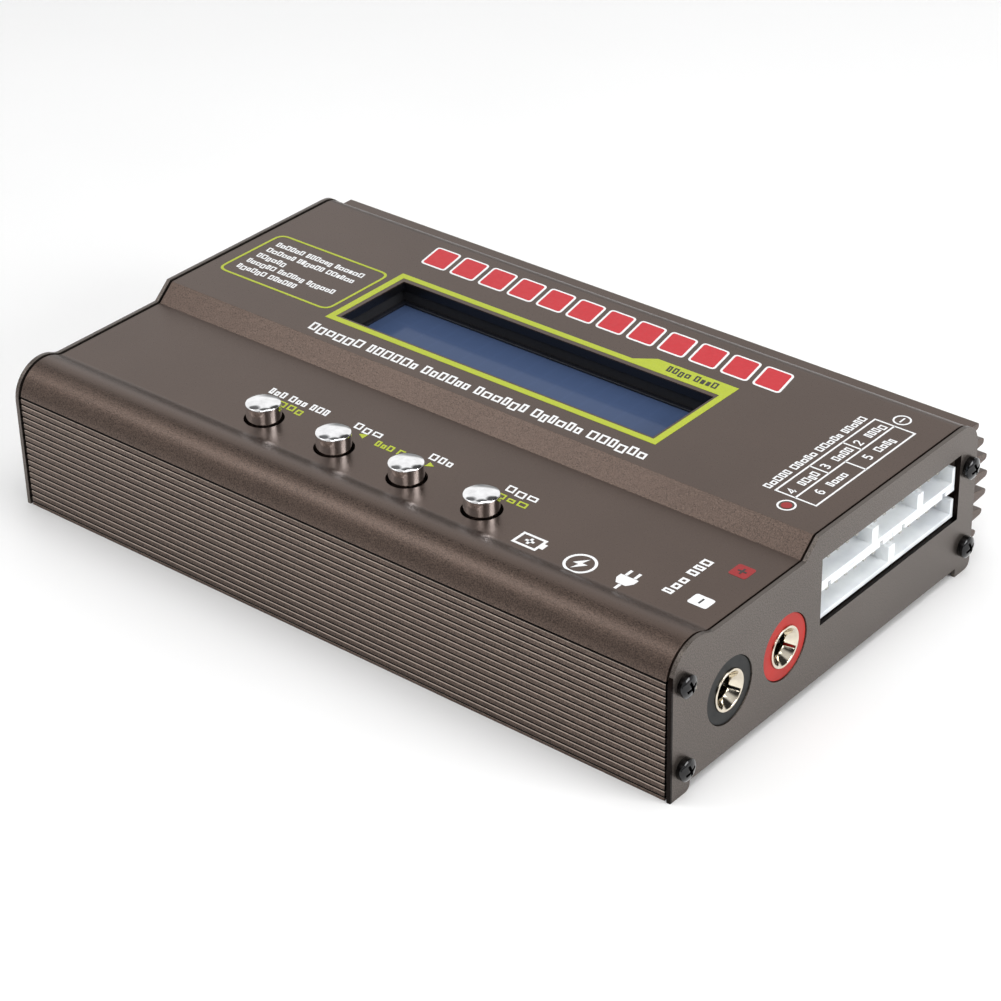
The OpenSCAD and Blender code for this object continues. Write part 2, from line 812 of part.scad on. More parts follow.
module sensor_port() {
    w = housing_w(3);
    color("#f2f2ee")
    mirror([1, 0, 0])
        balance_header(end_x - 0.8 - balance_depth, sensor_y - w / 2, main_top_z + 0.05, 3, w, balance_row_h);
}

module sensor_port_pins() {
    z = main_top_z + 0.05 + balance_row_h / 2;
    color("#c8c6ba")
    for (i = [-1, 0, 1]) {
        header_pin(-(end_x - 1.9), -(end_x - 9.6), sensor_y + i * balance_pitch, z);
        block([-(end_x - 9.6), sensor_y + i * balance_pitch - pin_w / 2, main_top_z + e],
            [-(end_x - 9.6 - pin_w), sensor_y + i * balance_pitch + pin_w / 2, z + pin_w / 2]);
    }
}

// ================= main board components =================

module microcontroller() {
    side = 12;
    color("#232326")
    translate([20, -2, main_top_z + e]) {
        translate([-side / 2, -side / 2, 0.15]) cube([side, side, 1.2]);
        for (turn = [0:90:270]) rotate([0, 0, turn]) for (i = [-5:5])
            translate([side / 2 - 0.5, i * 0.95 - 0.2, 0]) cube([1.5, 0.4, 0.25]);
    }
}

INDUCTOR_PLACES = [[-24, -14], [-4, -14]];
core_low_z = main_top_z + 0.9;
core_h = 5.6;

module inductor_cores() {
    color("#c9b23c")
    for (p = INDUCTOR_PLACES) difference() {
        rod_z(p[0], p[1], core_low_z, core_low_z + core_h, 7);
        rod_z(p[0], p[1], core_low_z - cut, core_low_z + core_h + cut, 4);
    }
}

// Each winding turn is a square loop of enamelled wire around the core's section.
module inductor_windings() {
    wire = 0.8;
    color("#b4622c")
    for (p = INDUCTOR_PLACES) for (turn = [0:20:300])
        translate([p[0], p[1], core_low_z]) rotate([0, 0, turn]) difference() {
            translate([4 - wire - e, -wire / 2, -wire]) cube([3 + 2 * wire + 2 * e, wire, core_h + 2 * wire]);
            translate([4 - e, -wire, -e]) cube([3 + 2 * e, 2 * wire, core_h + 2 * e]);
        }
}

module capacitors() {
    r = 4;
    color("#30343c")
    for (y = [6, 15, 24]) translate([-54, y, main_top_z + e]) rotate_extrude() difference() {
        square([r, 13]);
        translate([r + 0.25, 1.6]) circle(0.6);
        translate([0, 12.8]) square([r - 0.6, 1]);
    }
}

TRANSISTOR_X = [-36, -20, -4, 12];
pad_back_y = inner_back_y - e;
transistor_back_y = pad_back_y - 0.4 - e;

module power_transistors() {
    color("#28282b")
    for (x = TRANSISTOR_X) {
        block([x - 3.3, transistor_back_y - 2.3, clamp_z - 2.2], [x + 3.3, transistor_back_y, clamp_z + 4]);
        for (dx = [-2.3, 0, 2.3])
            block([x + dx - 0.35, transistor_back_y - 2.1, main_top_z + e],
                [x + dx + 0.35, transistor_back_y - 1.7, clamp_z - 2]);
    }
}

module thermal_pad() {
    color("#9aa7b0")
    difference() {
        block([-40, pad_back_y - 0.4, clamp_z - 2.6], [16, pad_back_y, clamp_z + 4.6]);
        for (x = CLAMP_SCREW_X)
            translate([x, pad_back_y - 2, clamp_z]) rotate([-90, 0, 0]) cylinder(h = 4, r = 1.5);
    }
}

module clamp_bar() {
    front = transistor_back_y - 2.3 - e;
    color("#b9b9bb")
    difference() {
        block([-40, front - 1.5, clamp_z - 1.7], [16, front, clamp_z + 1.7]);
        for (x = CLAMP_SCREW_X)
            translate([x, front - 3, clamp_z]) rotate([-90, 0, 0]) cylinder(h = 6, r = 1.2);
    }
}

module clamp_screws() {
    head_y = transistor_back_y - 2.3 - e - 1.5 - e;
    color("#c9c9cb")
    for (x = CLAMP_SCREW_X) translate([x, head_y, clamp_z]) rotate([-90, 0, 0]) {
        translate([0, 0, -1.3]) cylinder(h = 1.3, r = 2);
        cylinder(h = inner_back_y + 2.6 - head_y, r = 1);
    }
}

module buzzer() {
    color("#1a1a1c")
    translate([-38, -24, main_top_z + e]) difference() {
        cylinder(h = 7, r = 6);
        translate([0, 0, 5]) cylinder(h = 4, r = 1);
    }
}

module fuse() {
    color("#d9d4c4")
    translate([-54, -8, main_top_z + 2.2]) rotate([90, 0, 0]) cylinder(h = 10, r = 1.8);
    color("#c8c8ca")
    for (y = [-18, -8]) block([-56, y - 1.2, main_top_z + e], [-52, y + 1.2, main_top_z + 4.2]);
}

module contrast_trimmer() {
    color("#2f6fae")
    translate([31.5, 11, main_top_z + e]) difference() {
        translate([-3.2, -3.2, 0]) cube([6.4, 6.4, 4.4]);
        translate([0, 0, 3.9]) cylinder(h = cut, r = 1.8);
        translate([-1.6, -0.3, 3.2]) cube([3.2, 0.6, 2]);
    }
}

// ================= assembly =================

case_shell();
base_plate();
output_end_plate();
input_end_plate();
output_plate_screws();
input_plate_screws();
insulation_sheet();
main_board();
board_standoffs();
board_pillars();
board_screws();
key_board();
switch_housings();
switch_contact_domes();
button_cap(0);  // stop_button_cap
button_cap(1);  // dec_button_cap
button_cap(2);  // inc_button_cap
button_cap(3);  // start_button_cap
switch_plunger(0);  // stop_switch_plunger
switch_plunger(1);  // dec_switch_plunger
switch_plunger(2);  // inc_switch_plunger
switch_plunger(3);  // start_switch_plunger
lcd_gasket();
lcd_bezel();
lcd_glass();
lcd_backlight();
lcd_board();
header_pins();
header_strips();
negative_socket_insulator();
positive_socket_insulator();
negative_socket_contact();
positive_socket_contact();
socket_washers();
socket_nuts();
socket_lugs();
balance_socket(2);  // balance_socket_2
balance_socket(3);  // balance_socket_3
balance_socket(4);  // balance_socket_4
balance_socket(5);  // balance_socket_5
balance_socket(6);  // balance_socket_6
balance_pins();
balance_board();
dc_jack_housing();
dc_jack_pin();
dc_jack_spring();
sensor_port();
sensor_port_pins();
microcontroller();
inductor_cores();
inductor_windings();
capacitors();
power_transistors();
thermal_pad();
clamp_bar();
clamp_screws();
buzzer();
fuse();
contrast_trimmer();
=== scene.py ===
import json
import math
import random

import bmesh
import bpy
from mathutils import Matrix, Vector


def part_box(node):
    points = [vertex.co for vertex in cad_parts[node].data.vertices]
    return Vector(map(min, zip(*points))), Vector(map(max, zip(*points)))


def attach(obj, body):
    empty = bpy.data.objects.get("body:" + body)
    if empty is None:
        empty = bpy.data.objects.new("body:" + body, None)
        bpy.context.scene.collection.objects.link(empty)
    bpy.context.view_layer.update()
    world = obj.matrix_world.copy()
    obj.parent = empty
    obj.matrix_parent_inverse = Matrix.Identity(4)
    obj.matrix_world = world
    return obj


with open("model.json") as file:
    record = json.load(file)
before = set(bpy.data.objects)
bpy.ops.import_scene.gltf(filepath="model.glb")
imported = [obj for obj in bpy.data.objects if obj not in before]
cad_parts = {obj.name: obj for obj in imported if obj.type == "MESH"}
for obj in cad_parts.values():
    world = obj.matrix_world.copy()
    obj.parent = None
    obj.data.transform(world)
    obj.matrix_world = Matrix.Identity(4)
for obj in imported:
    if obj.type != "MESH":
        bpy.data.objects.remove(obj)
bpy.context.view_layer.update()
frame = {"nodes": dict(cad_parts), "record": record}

MM = 0.001
NODES = frame["nodes"]

# Levels that the printed marks and the added pieces stand on, in millimetres.
SHELL_LOW, SHELL_HIGH = (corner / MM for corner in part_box("case_shell"))
UPPER_DECK = SHELL_HIGH.z
LOWER_DECK = UPPER_DECK - 2.8
WINDOW_LOW, WINDOW_HIGH = Vector((-34.3, 1.4, 0)), Vector((30.3, 17.2, 0))
HEADERS_LOW, HEADERS_HIGH = (-5.69, 11.07), (32.02, 22.7)  # Y and Z of the output plate's window
PRINT_T = 0.03
PRINT_SINK = 0.012
LEAN = -0.2  # the slant of the printing that reads along +X


# ---------------------------------------------------------------- node helpers

class Shader:
    """A material under construction: short calls for the nodes that the materials share."""

    def __init__(self, name, colour, metallic=0.0, roughness=0.5, **sockets):
        self.material = bpy.data.materials.new(name)
        self.material.use_nodes = True
        self.tree = self.material.node_tree
        self.bsdf = self.tree.nodes["Principled BSDF"]
        self.colour = colour
        self.bsdf.inputs["Base Color"].default_value = (*colour, 1)
        self.bsdf.inputs["Metallic"].default_value = metallic
        self.bsdf.inputs["Roughness"].default_value = roughness
        for socket, value in sockets.items():
            self.bsdf.inputs[socket.replace("_", " ")].default_value = value
        self.coordinates = self.tree.nodes.new("ShaderNodeTexCoord").outputs["Object"]

    def link(self, output, socket):
        self.tree.links.new(output, socket)

    def node(self, kind, **settings):
        made = self.tree.nodes.new("ShaderNode" + kind)
        for key, value in settings.items():
            setattr(made, key, value)
        return made

    def stretched(self, factors):
        """The object's coordinates, scaled along each axis."""
        mapping = self.node("Mapping")
        mapping.inputs["Scale"].default_value = factors
        self.link(self.coordinates, mapping.inputs["Vector"])
        return mapping.outputs["Vector"]

    def noise(self, size_mm, detail=2.0, vector=None):
        """Noise whose lumps are about size_mm across."""
        made = self.node("TexNoise")
        made.inputs["Scale"].default_value = 1 / (size_mm * MM)
        made.inputs["Detail"].default_value = detail
        self.link(vector or self.coordinates, made.inputs["Vector"])
        return made.outputs["Fac"]

    def range(self, value, low, high, start=0.0, end=1.0):
        """value, moved from low..high to start..end and held there."""
        made = self.node("MapRange")
        made.inputs["From Min"].default_value = low
        made.inputs["From Max"].default_value = high
        made.inputs["To Min"].default_value = start
        made.inputs["To Max"].default_value = end
        self.link(value, made.inputs["Value"])
        return made.outputs["Result"]

    def maths(self, operation, a, b):
        made = self.node("Math", operation=operation)
        for value, socket in ((a, made.inputs[0]), (b, made.inputs[1])):
            if isinstance(value, (int, float)):
                socket.default_value = value
            else:
                self.link(value, socket)
        return made.outputs[0]

    def mix(self, share, a, b):
        """Colour a where share is 0 and colour b where it is 1. Each may be an output or a tuple."""
        made = self.node("Mix", data_type="RGBA")
        self.link(share, made.inputs["Factor"])
        for value, socket in ((a, made.inputs[6]), (b, made.inputs[7])):
            if isinstance(value, tuple):
                socket.default_value = (*value, 1)
            else:
                self.link(value, socket)
        return made.outputs[2]

    def tinted(self, share, dark, light):
        """The base colour, from dark times it to light times it as share goes from 0 to 1."""
        shades = [tuple(min(1.0, c * factor) for c in self.colour) for factor in (dark, light)]
        return self.mix(share, *shades)

    def paint(self, output):
        self.link(output, self.bsdf.inputs["Base Color"])
        return self

    def rough(self, output):
        self.link(output, self.bsdf.inputs["Roughness"])
        return self

    def bump(self, height, depth_mm, strength=1.0):
        made = self.node("Bump")
        made.inputs["Strength"].default_value = strength
        made.inputs["Distance"].default_value = depth_mm * MM
        self.link(height, made.inputs["Height"])
        self.link(made.outputs["Normal"], self.bsdf.inputs["Normal"])
        return self


def moulded(name, colour, roughness=0.4, grain_mm=0.25, depth_mm=0.006, **sockets):
    """Moulded plastic: a fine spark-eroded grain, with faint flow marks."""
    s = Shader(name, colour, 0.0, roughness, **sockets)
    flow = s.noise(6, 3)
    s.paint(s.tinted(s.range(flow, 0.35, 0.65), 0.9, 1.08))
    s.rough(s.range(s.noise(1.5, 4), 0.3, 0.7, roughness * 0.85, roughness * 1.15))
    s.bump(s.noise(grain_mm, 3), depth_mm)
    return s.material


def plated(name, colour, roughness=0.22, grain=(1, 1, 1), depth_mm=0.004, **sockets):
    """Plated or turned metal. grain stretches its tool marks along the axes with small factors."""
    s = Shader(name, colour, 1.0, roughness, **sockets)
    marks = s.noise(0.08, 3, s.stretched(grain))
    s.paint(s.tinted(s.range(s.noise(1.2, 3), 0.3, 0.7), 0.86, 1.06))
    s.rough(s.range(marks, 0.25, 0.75, roughness * 0.7, roughness * 1.4))
    s.bump(marks, depth_mm)
    return s.material


def solder_mask(name, colour):
    """A circuit board: tracks under solder mask."""
    s = Shader(name, colour, 0.0, 0.3, Coat_Weight=0.4)
    cells = s.node("TexVoronoi", feature="DISTANCE_TO_EDGE", distance="CHEBYCHEV")
    cells.inputs["Scale"].default_value = 1 / (2.4 * MM)
    s.link(s.coordinates, cells.inputs["Vector"])
    tracks = s.range(cells.outputs["Distance"], 0.06, 0.12)
    s.paint(s.tinted(tracks, 1.0, 1.7))
    s.rough(s.range(s.noise(0.6, 3), 0.3, 0.7, 0.24, 0.38))
    s.bump(tracks, 0.02)
    return s.material


def anodised(name, colour, shine=0.32):
    """Sandblasted, bronze-dyed aluminium: a fine speckle under a satin oxide film. The speckle's colour
    is faint on level faces and strong on sloped ones, where it adds painted glints to the real grain.
    """
    s = Shader(name, colour, METAL_SHARE, shine, Coat_Weight=COAT_SHARE, Coat_Roughness=0.25)
    speckle = s.noise(0.2, 2)
    cloud = s.noise(18, 2)
    level = s.node("SeparateXYZ")
    s.link(s.node("TexCoord").outputs["Normal"], level.inputs[0])
    # Real grain, with painted glints: the speckle's colour contrast is cut on level faces and kept on
    # sloped ones.
    grain = s.range(level.outputs["Z"], 0.96, 0.995, 1.0, 0.18)
    fine = s.maths("MULTIPLY", s.range(speckle, 0.34, 0.66, -0.5, 0.5), grain)
    patchy = s.range(cloud, 0.3, 0.7, 0.44, 0.56)
    s.paint(s.tinted(s.maths("ADD", fine, patchy), 0.6, 1.42))
    s.rough(s.range(speckle, 0.3, 0.7, shine * 0.85, shine * 1.2))
    s.bump(s.maths("MULTIPLY", speckle, grain), 0.034)
    return s


def ink(name, colour, roughness=0.5):
    """Screen-printed ink, which takes a little of the metal's grain."""
    s = Shader(name, colour, 0.0, roughness)
    s.paint(s.tinted(s.range(s.noise(0.3, 3), 0.3, 0.7), 0.94, 1.04))
    s.rough(s.range(s.noise(0.9, 2), 0.3, 0.7, roughness * 0.9, roughness * 1.1))
    s.bump(s.noise(0.16, 2), 0.006)
    return s.material


# ---------------------------------------------------------------- materials

def shell_material():
    """The anodised case. Painted shade darkens the floors of its front grooves, a painted highlight
    lightens their lower lips, and painted shade blackens its cut edge within the display window."""
    s = anodised("case_anodised_look", BRONZE)
    place = s.node("SeparateXYZ")
    s.link(s.coordinates, place.inputs[0])
    x, y, z = place.outputs
    # Painted shade: the case's cut edge within the display window is painted near-black and loses its
    # metal, standing in for the shade of the deep window.
    window_shade = s.maths("LESS_THAN", z, (UPPER_DECK - 0.25) * MM)
    for axis, low, high in ((x, WINDOW_LOW.x, WINDOW_HIGH.x), (y, WINDOW_LOW.y, WINDOW_HIGH.y)):
        window_shade = s.maths("MULTIPLY", window_shade, s.maths("GREATER_THAN", axis, (low - 0.3) * MM))
        window_shade = s.maths("MULTIPLY", window_shade, s.maths("LESS_THAN", axis, (high + 0.3) * MM))
    painted = s.bsdf.inputs["Base Color"].links[0].from_socket
    ribbed = s.maths("LESS_THAN", z, RIBS_TOP * MM)
    ribbed = s.maths("MULTIPLY", ribbed, s.maths("GREATER_THAN", z, RIBS_LOW * MM))
    depths = {name: (SHELL_LOW.y + depth) * MM for name, depth in GROOVE_DEPTHS.items()}
    # Painted shade: the groove floors behind the front ribs are darkened to near-black.
    groove_shade = s.range(y, depths["darkens"], depths["dark"])
    groove_shade = s.maths("MULTIPLY", groove_shade, s.maths("LESS_THAN", y, depths["floor"]))
    facing = s.node("SeparateXYZ")
    s.link(s.node("TexCoord").outputs["Normal"], facing.inputs[0])
    # Painted highlight: the up-facing lower lip of each groove is painted a light bronze.
    lip = s.maths("MULTIPLY", s.range(facing.outputs["Z"], 0.3, 0.6), s.maths("SUBTRACT", 1.0, groove_shade))
    lip = s.maths("MULTIPLY", lip, s.maths("LESS_THAN", y, depths["lip"]))
    painted = s.mix(s.maths("MULTIPLY", groove_shade, ribbed), painted, GROOVE_PAINTED_SHADE)
    painted = s.mix(s.maths("MULTIPLY", lip, ribbed), painted, LIP_PAINTED_HIGHLIGHT)
    s.paint(s.mix(window_shade, painted, WINDOW_PAINTED_SHADE))
    metal = s.maths("SUBTRACT", METAL_SHARE, s.maths("MULTIPLY", window_shade, METAL_SHARE))
    s.link(metal, s.bsdf.inputs["Metallic"])
    return s.material


def plate_material():
    """The anodised end plates. Painted shade darkens the output plate's front edge and the walls of its
    window.
    """
    s = anodised("plate_anodised_look", PLATE_BRONZE, 0.34)
    place = s.node("SeparateXYZ")
    s.link(s.coordinates, place.inputs[0])
    x, y, z = place.outputs
    facing = s.node("SeparateXYZ")
    s.link(s.node("TexCoord").outputs["Normal"], facing.inputs[0])
    # Painted shade: the walls of the output plate's window are painted near-black.
    window = s.maths("LESS_THAN", facing.outputs["X"], 0.8)
    for axis, low, high in ((y, HEADERS_LOW[0], HEADERS_HIGH[0]), (z, HEADERS_LOW[1], HEADERS_HIGH[1])):
        window = s.maths("MULTIPLY", window, s.maths("GREATER_THAN", axis, (low - 0.2) * MM))
        window = s.maths("MULTIPLY", window, s.maths("LESS_THAN", axis, (high + 0.2) * MM))
    # Painted shade: the output plate's front edge, at its seam with the ribs, is painted near-black.
    front = s.maths("LESS_THAN", y, (SHELL_LOW.y + PLATE_EDGE_SHADE_DEPTH) * MM)
    edge = s.maths("MULTIPLY", s.maths("MAXIMUM", front, window), s.maths("GREATER_THAN", x, 0.0))
    painted = s.bsdf.inputs["Base Color"].links[0].from_socket
    s.link(s.maths("MAXIMUM", edge, METAL_SHARE), s.bsdf.inputs["Metallic"])
    s.link(s.maths("MULTIPLY", s.maths("SUBTRACT", 1.0, edge), COAT_SHARE), s.bsdf.inputs["Coat Weight"])
    return s.paint(s.mix(edge, painted, EDGE_PAINTED_SHADE)).material


def display_material():
    """The display's blue polariser under its front glass, with its character cells barely showing."""
    s = Shader("display_look", (0.054, 0.084, 0.168), 0.0, 0.12, Specular_IOR_Level=0.08)
    cells = s.node("TexBrick", offset=0.0)
    cells.inputs["Scale"].default_value = 1 / MM
    cells.inputs["Brick Width"].default_value = 3.55
    cells.inputs["Row Height"].default_value = 5.95
    cells.inputs["Mortar Size"].default_value = 0.3
    s.link(s.coordinates, cells.inputs["Vector"])
    s.paint(s.tinted(s.maths("MULTIPLY", cells.outputs["Fac"], 0.08), 1.0, 1.5))
    s.bump(s.noise(3, 2), 0.002)
    return s.material


METAL_SHARE = 0.88
COAT_SHARE = 0.18
BRONZE = (0.1, 0.07, 0.056)
# The colour of the painted highlight on the groove lips.
LIP_PAINTED_HIGHLIGHT = (0.5, 0.41, 0.35)
RIBS_LOW, RIBS_TOP = 0.4, 20.42  # heights that the front grooves lie between
GROOVE_DEPTHS = {"darkens": 0.07, "dark": 0.12, "lip": 0.3, "floor": 0.8}  # behind the front ribs: where the painted groove shade starts and is full, where the painted lip highlight stops, and where the shade stops at the groove floor
# The colour of the painted shade in the front grooves.
GROOVE_PAINTED_SHADE = (0.004, 0.003, 0.002)
# The colour of the painted shade on the cut edge within the display window.
WINDOW_PAINTED_SHADE = (0.004, 0.004, 0.005)
# The colour of the painted shade on the output plate's front edge and window walls.
EDGE_PAINTED_SHADE = (0.008, 0.005, 0.004)
PLATE_EDGE_SHADE_DEPTH = 0.25  # how far back the painted shade on the output plate's front edge goes
PLATE_BRONZE = (0.118, 0.1, 0.088)
WHITE_INK = ink("white_ink", (0.86, 0.87, 0.88))
LIME_INK = ink("lime_ink", (0.43, 0.5, 0.025))
RED_INK = ink("red_ink", (0.54, 0.006, 0.016), 0.42)
BADGE_RED_INK = ink("badge_red_ink", (0.3, 0.012, 0.014))
DARK_INK = ink("dark_ink", (0.03, 0.028, 0.026))

SHELL = shell_material()
PLATE = plate_material()
BASE = anodised("base_anodised_look", PLATE_BRONZE, 0.4).material
BLACK_SCREW = plated("black_screw_look", (0.014, 0.014, 0.015), 0.2, (1, 1, 1), 0.001,
                     Coat_Weight=0.7, Coat_Roughness=0.1)
STEEL = plated("plated_steel_look", (0.56, 0.56, 0.57), 0.28)
BRASS = plated("turned_brass_look", (0.62, 0.44, 0.17), 0.25, (0.1, 1, 1))
GOLD = plated("gold_contact_look", (0.8, 0.73, 0.6), 0.1, (1, 0.2, 0.2), 0.0003)
TINNED = plated("tinned_pin_look", (0.6, 0.58, 0.54), 0.3)
GOLD_PIN = plated("gold_pin_look", (0.72, 0.53, 0.2), 0.22)
CHROME = plated("button_chrome_look", (0.9, 0.9, 0.91), 0.045, (1, 1, 0.2), 0.0001)
BLACK_PLASTIC = moulded("black_plastic_look", (0.018, 0.018, 0.02), 0.5)
SOCKET_BLACK = moulded("socket_black_look", (0.006, 0.007, 0.007), 0.38, 0.4, 0.002,
                       Specular_IOR_Level=0.25)
SOCKET_RED = moulded("socket_red_look", (0.4, 0.018, 0.012), 0.38, 0.4, 0.002,
                     Specular_IOR_Level=0.25)
HEADER_WHITE = moulded("header_white_look", (0.9, 0.92, 0.95), 0.42, 0.3, 0.004, Subsurface_Weight=0.05)
PLUNGER = moulded("plunger_white_look", (0.8, 0.78, 0.72), 0.4)
CARD = moulded("insulation_card_look", (0.6, 0.55, 0.4), 0.6, 0.8)
GASKET = moulded("gasket_black_look", (0.01, 0.01, 0.012), 0.75, 0.12, 0.02)
BEZEL = moulded("bezel_black_look", (0.012, 0.013, 0.018), 0.3, 0.5, 0.004)
DISPLAY = display_material()
BACKLIGHT = moulded("backlight_look", (0.75, 0.79, 0.85), 0.2, 0.5, 0.002)
GREEN_BOARD = solder_mask("board_green_look", (0.01, 0.075, 0.022))
BLUE_BOARD = solder_mask("board_blue_look", (0.012, 0.05, 0.13))
EPOXY = moulded("chip_black_look", (0.02, 0.02, 0.022), 0.55, 0.15, 0.01)
CORE = moulded("core_yellow_look", (0.55, 0.42, 0.05), 0.35, 0.5, 0.02)
COPPER = plated("copper_wire_look", (0.5, 0.16, 0.05), 0.25)
SLEEVE = moulded("capacitor_sleeve_look", (0.02, 0.028, 0.05), 0.22, 0.6, 0.004)
PAD = moulded("thermal_grey_look", (0.3, 0.35, 0.4), 0.8, 0.2, 0.01)
CLAMP = plated("clamp_aluminium_look", (0.62, 0.62, 0.63), 0.35, (0.05, 1, 1))
CERAMIC = moulded("fuse_ceramic_look", (0.72, 0.68, 0.58), 0.35)
TRIMMER = moulded("trimmer_blue_look", (0.02, 0.09, 0.36), 0.3)

SLOT_LOOKS = {
    "case_anodised": SHELL, "base_anodised": BASE, "plate_anodised": PLATE, "black_screw": BLACK_SCREW,
    "insulation_card": CARD, "board_green": GREEN_BOARD, "board_blue": BLUE_BOARD, "plated_steel": STEEL,
    "turned_brass": BRASS, "gold_contact": GOLD, "black_plastic": BLACK_PLASTIC, "spring_steel": STEEL,
    "button_chrome": CHROME, "plunger_white": PLUNGER, "gasket_black": GASKET, "bezel_black": BEZEL,
    "display_blue": DISPLAY, "backlight_white": BACKLIGHT, "socket_black": SOCKET_BLACK,
    "socket_red": SOCKET_RED, "header_white": HEADER_WHITE, "tinned_pin": TINNED, "gold_pin": GOLD_PIN,
    "chip_black": EPOXY, "core_yellow": CORE, "copper_wire": COPPER, "capacitor_sleeve": SLEEVE,
    "thermal_grey": PAD, "clamp_aluminium": CLAMP, "fuse_ceramic": CERAMIC, "trimmer_blue": TRIMMER,
}


def dress_nodes():
    """Gives every CAD node its look and a small radius on its edges."""
    for part in frame["record"]["subparts"]:
        node = NODES[part["node"]]
        node.data.materials.clear()
        node.data.materials.append(SLOT_LOOKS[part["material_slot"]])
        soften(node, EDGE_RADII.get(part["node"], 0.08))


EDGE_RADII = {"case_shell": 0.12, "output_end_plate": 0.14, "input_end_plate": 0.14, "balance_pins": 0.05}


def soften(node, radius_mm):
    """Rounds the sharp edges of a CAD node and shades its flat faces flat."""
    weld = node.modifiers.new("weld", "WELD")
    weld.merge_threshold = 1e-7
    flat = node.modifiers.new("flat", "DECIMATE")
    flat.decimate_type = "DISSOLVE"
    flat.angle_limit = math.radians(0.1)
    bevel = node.modifiers.new("edge", "BEVEL")
    bevel.width = radius_mm * MM
    bevel.segments = 2
    bevel.limit_method = "ANGLE"
    bevel.angle_limit = math.radians(32)
    normals = node.modifiers.new("normals", "WEIGHTED_NORMAL")
    normals.keep_sharp = False
    normals.weight = 100


# ---------------------------------------------------------------- printed marks

class Print:
    """A thin layer of ink on one deck, made of flat shapes given in millimetres."""

    def __init__(self, name, material, deck, layer=0):
        self.name, self.material = name, material
        self.low = deck - PRINT_SINK
        self.high = deck + PRINT_T + layer * PRINT_T
        self.mesh = bmesh.new()

    def _ring_of_vertices(self, points, z):
        return [self.mesh.verts.new((x * MM, y * MM, z * MM)) for x, y in points]

    def shape(self, points):
        """A filled outline, given anticlockwise."""
        low, high = (self._ring_of_vertices(points, z) for z in (self.low, self.high))
        self.mesh.faces.new(high)
        self.mesh.faces.new(low[::-1])
        self._walls(low, high)
        return self

    def ring(self, outer, inner):
        """The band between two outlines with the same number of points."""
        loops = [self._ring_of_vertices(points, z)
                 for points in (outer, inner) for z in (self.low, self.high)]
        outer_low, outer_high, inner_low, inner_high = loops
        self._walls(outer_low, outer_high)
        self._walls(inner_high, inner_low)
        self._walls(outer_high, inner_high)
        self._walls(inner_low, outer_low)
        return self

    def _walls(self, low, high):
        count = len(low)
        for i in range(count):
            j = (i + 1) % count
            self.mesh.faces.new((low[i], low[j], high[j], high[i]))

    def ribbon(self, points, width, closed=False):
        """A stroke of one width that follows points, with mitred corners."""
        points = [Vector(p) for p in points]
        count = len(points)
        sides = []
        for i, here in enumerate(points):
            runs = []
            if i or closed:
                runs.append((here - points[i - 1]).normalized())
            if i < count - 1 or closed:
                runs.append((points[(i + 1) % count] - here).normalized())
            along = sum(runs, Vector((0, 0))).normalized()
            reach = width / 2 / max(0.5, along.dot(runs[0]))
            sides.append(Vector((-along.y, along.x)) * reach)
        loops = [self._ring_of_vertices([p + side * sign for p, side in zip(points, sides)], z)
                 for sign in (1, -1) for z in (self.low, self.high)]
        left_low, left_high, right_low, right_high = loops
        for i in range(count if closed else count - 1):
            j = (i + 1) % count
            for a, b in ((left_low, left_high), (left_high, right_high), (right_high, right_low),
                         (right_low, left_low)):
                self.mesh.faces.new((a[i], a[j], b[j], b[i]))
        if not closed:
            for i in (0, count - 1):
                self.mesh.faces.new([loop[i] for loop in (left_low, left_high, right_high, right_low)])
        return self

    def finish(self, slot="case_anodised"):
        bmesh.ops.recalc_face_normals(self.mesh, faces=self.mesh.faces)
        data = bpy.data.meshes.new(self.name)
        self.mesh.to_mesh(data)
        self.mesh.free()
        return place_piece(self.name, data, self.material)


def place_piece(name, data, material, body="root"):
    piece = bpy.data.objects.new(name, data)
    bpy.context.scene.collection.objects.link(piece)
    data.materials.append(material)
    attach(piece, body)
    return piece


def rectangle(x0, y0, x1, y1):
    return [(x0, y0), (x1, y0), (x1, y1), (x0, y1)]


def circle(x, y, r, count=32):
    return [(x + r * math.cos(2 * math.pi * i / count), y + r * math.sin(2 * math.pi * i / count))
            for i in range(count)]


def rounded(points, radius, steps=5):
    """An outline whose corners are rounded by curves that leave each side at radius from its corner."""
    made = []
    count = len(points)
    for i in range(count):
        corner = Vector(points[i])
        back, ahead = Vector(points[i - 1]) - corner, Vector(points[(i + 1) % count]) - corner
        a, b = corner + back.normalized() * radius, corner + ahead.normalized() * radius
        for k in range(steps + 1):
            t = k / steps
            made.append(tuple(a * (1 - t) ** 2 + corner * 2 * t * (1 - t) + b * t ** 2))
    return made


def slanted(x0, y0, x1, y1, lean):
    """A block whose upright sides lean to the right by lean times its height."""
    shift = (y1 - y0) * lean
    return [(x0, y0), (x1, y0), (x1 + shift, y1), (x0 + shift, y1)]


def placed(points, x0, y0, scale=1.0):
    return [(x0 + x * scale, y0 + y * scale) for x, y in points]


def along_x(x0, y0):
    """Moves points drawn from the origin to a start on a base line along +X."""
    return lambda points: placed(points, x0, y0)


def along_y(base_x, start_y):
    """Moves points drawn from the origin, turned to read along +Y, to a start on a base line."""
    return lambda points: [(base_x - y, start_y + x) for x, y in points]


